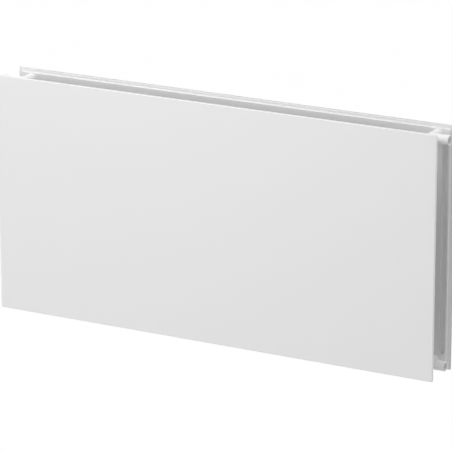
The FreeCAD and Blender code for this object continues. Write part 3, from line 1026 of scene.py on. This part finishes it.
class RADIATOR_OT_plugs(bpy.types.Operator):
    """Make the vent, its spout and screw, the blanking plug and the sealing rings"""
    bl_idname = "radiator.plugs"
    bl_label = "Vent and blanking plug"

    def execute(self, context):
        for node, name, width, body, slot, material in (
                ("vent_plug_body", "vent_body_turned", 0.35, "radiator", "nickel", "nickel"),
                ("blanking_plug", "blind_plug_turned", 0.35, "radiator", "nickel", "blind_nickel"),
                ("vent_swivel", "vent_spout_moulded", 0.3, "spout", "spout_plastic", "spout_plastic"),
                ("bleed_screw", "bleed_screw_turned", 0.3, "screw", "screw_steel", "screw_steel")):
            deliver(softened(node, name, width * MM), body, slot, [node], material)
        for node in ("vent_ring", "blanking_ring"):
            dress(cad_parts[node], "seal_rubber")
        return {"FINISHED"}


# ---------------------------------------------------------------- spot welds

def dimple_tree():
    """Geometry Nodes: small round marks at the spot welds down each groove's floor."""
    make = GeometryRecipe("spot_welds", (("Grid", "Geometry"), ("Mark", "Object")))
    size = make.add("FunctionNodeRandomValue", {"data_type": "FLOAT"}, {2: 0.92, 3: 1.06, "Seed": 7})
    return make.finished(make.spread(make.given["Grid"], make.given["Mark"], {"Scale": size.outputs[1]}))


def build_mark(shape):
    """The raised lip that an electrode leaves: a low closed ring about the Y axis."""
    radius, lip, around = panels().weld_radius, 0.3 * MM, 14
    top, foot = 0.16 * MM, -0.1 * MM
    section = [(radius + lip, foot), (radius + lip / 2, top), (radius - lip / 2, top), (radius - lip, foot)]
    stacked = ring_stack(shape, [[Vector((reach * math.cos(a), height, reach * math.sin(a)))
                                  for a in full_turn(around)] for reach, height in section])
    bridge(shape, stacked[-1], stacked[0])


class RADIATOR_OT_spot_welds(bpy.types.Operator):
    """Mark the spot welds down the grooves of both water panels"""
    bl_idname = "radiator.spot_welds"
    bl_label = "Spot welds"

    def execute(self, context):
        sizes = panels()
        tree = dimple_tree()
        count, first = groove_centres()
        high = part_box("rear_panel_back_sheet")[1]
        half_run = high.z - sizes.header - sizes.groove
        rows = int(2 * half_run / sizes.weld_pitch)
        mark = new_piece("one_mark", mesh_from("one_mark", build_mark))
        for node, faces_wall in (("front_panel_back_sheet", True), ("rear_panel_front_sheet", False),
                                 ("rear_panel_back_sheet", True)):
            grid = bpy.data.meshes.new("weld_grid")
            spots = [(first + column * sizes.pitch, 0, -half_run + 2 * half_run * (row + 0.5) / rows)
                     for column in range(count) for row in range(rows)]
            grid.from_pydata(spots, [], [])
            marks = new_piece(node + "_spot_welds", grid)
            settle(attach(marks, tree, {"Mark": mark, "Material": MATERIALS["panel_paint"]}))
            low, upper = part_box(node)
            lay(marks.data, low.y + sizes.skin if faces_wall else upper.y - sizes.skin, faces_wall)
            deliver(marks, "radiator", "panel_paint")
        bpy.data.objects.remove(mark)
        return {"FINISHED"}


# ---------------------------------------------------------------- stage

def soft_lamp(name, place, width, watts):
    """A square lamp turned towards the radiator's middle."""
    lamp = bpy.data.lights.new(name, "AREA")
    lamp.shape = "SQUARE"
    lamp.size = width
    lamp.energy = watts
    thing = bpy.data.objects.new(name, lamp)
    bpy.context.scene.collection.objects.link(thing)
    thing.location = place
    thing.visible_camera = False
    thing.rotation_euler = (Vector(LAMP_TARGET) - thing.location).to_track_quat("-Z", "Y").to_euler()


def studio_floor():
    """A pale floor that shows white and keeps a soft shadow."""
    values = studio()
    level = CAD_BOX[0][2] - values.floor_drop
    corners = [(x * FLOOR_REACH, y * FLOOR_REACH, level) for x, y in ((-1, -1), (1, -1), (1, 1), (-1, 1))]
    mesh = bpy.data.meshes.new("studio_floor")
    mesh.from_pydata(corners, [], [(0, 1, 2, 3)])
    floor = new_piece("studio_floor", mesh)
    recipe = Recipe(bpy.data.materials.new("floor_white"))
    path = recipe.add("ShaderNodeLightPath")
    camera = Value(recipe, path.outputs["Is Camera Ray"])
    glossy = Value(recipe, path.outputs["Is Glossy Ray"])
    tone = values.floor_tone
    pale = recipe.value("ShaderNodeBsdfDiffuse", None, {"Color": (tone, tone, tone, 1)})
    white = recipe.value("ShaderNodeEmission", None, {"Color": (1, 1, 1, 1), "Strength": values.floor_glow})
    share = recipe.value("ShaderNodeMath", {"operation": "MAXIMUM"}, {0: camera, 1: glossy})
    mixed = recipe.value("ShaderNodeMixShader", None, {0: share * values.floor_white, 1: pale, 2: white})
    recipe.add("ShaderNodeOutputMaterial", None, {"Surface": mixed})
    floor.data.materials.append(recipe.owner)


def studio_world():
    """Light from all round, stronger from above, which the camera sees as white."""
    world = bpy.data.worlds.new("studio_world")
    bpy.context.scene.world = world
    recipe = Recipe(world)
    path = recipe.add("ShaderNodeLightPath")
    camera = Value(recipe, path.outputs["Is Camera Ray"])
    white = (1, 1, 1, 1)
    direction = recipe.value("ShaderNodeTexCoord", output="Generated")
    height = recipe.value("ShaderNodeSeparateXYZ", None, {"Vector": direction}, output="Z")
    strength = studio().world_level + height * studio().world_slope
    sky = recipe.value("ShaderNodeBackground", None, {"Color": white, "Strength": strength})
    backdrop = recipe.value("ShaderNodeBackground", None, {"Color": white, "Strength": 1.0})
    mixed = recipe.value("ShaderNodeMixShader", None, {0: camera, 1: sky, 2: backdrop})
    recipe.add("ShaderNodeOutputWorld", None, {"Surface": mixed})


class RADIATOR_OT_stage(bpy.types.Operator):
    """Set the camera, the lamps, the white surroundings and the floor"""
    bl_idname = "radiator.stage"
    bl_label = "Stage"

    def execute(self, context):
        values = studio()
        scene = context.scene
        scene.view_settings.view_transform = "Standard"
        lens = bpy.data.cameras.new("camera")
        lens.sensor_width = 36
        lens.lens = values.lens
        lens.clip_end = 100
        camera = bpy.data.objects.new("camera", lens)
        scene.collection.objects.link(camera)
        camera.location = values.camera_place
        camera.rotation_euler = values.camera_turn
        scene.camera = camera
        studio_world()
        for name in LAMPS:
            soft_lamp(name, *(getattr(values, f"{name}_{part}") for part in ("place", "width", "watts")))
        studio_floor()
        return {"FINISHED"}


class RADIATOR_PT_sidebar(bpy.types.Panel):
    """The radiator's makers and its sizes"""
    bl_idname = "RADIATOR_PT_sidebar"
    bl_label = "Panel radiator"
    bl_space_type = "VIEW_3D"
    bl_region_type = "UI"
    bl_category = "Radiator"

    def draw(self, context):
        for operator in OPERATORS:
            self.layout.operator(operator.bl_idname)
        for group in (panels(), fittings(), finish_values(), studio()):
            box = self.layout.box()
            for name in group.bl_rna.properties.keys():
                if name not in ("rna_type", "name"):
                    box.prop(group, name)


GROUPS = {"radiator_panels": RadiatorPanels, "radiator_fittings": RadiatorFittings,
          "radiator_finish": RadiatorFinish, "radiator_studio": RadiatorStudio}
OPERATORS = (RADIATOR_OT_stage, RADIATOR_OT_panels, RADIATOR_OT_spot_welds, RADIATOR_OT_cover,
             RADIATOR_OT_tees, RADIATOR_OT_welds, RADIATOR_OT_lugs, RADIATOR_OT_brackets,
             RADIATOR_OT_plugs)
CLASSES = (*GROUPS.values(), *OPERATORS, RADIATOR_PT_sidebar)


def register():
    for thing in CLASSES:
        bpy.utils.register_class(thing)
    for name, group in GROUPS.items():
        setattr(bpy.types.Scene, name, PointerProperty(type=group))


def unregister():
    for name in GROUPS:
        delattr(bpy.types.Scene, name)
    for thing in reversed(CLASSES):
        bpy.utils.unregister_class(thing)


def main():
    register()
    make_materials()
    bpy.ops.radiator.stage()
    bpy.ops.radiator.panels()
    bpy.ops.radiator.spot_welds()
    bpy.ops.radiator.cover()
    bpy.ops.radiator.tees()
    bpy.ops.radiator.welds()
    bpy.ops.radiator.lugs()
    bpy.ops.radiator.brackets()
    bpy.ops.radiator.plugs()


if __name__ == "__main__":
    main()
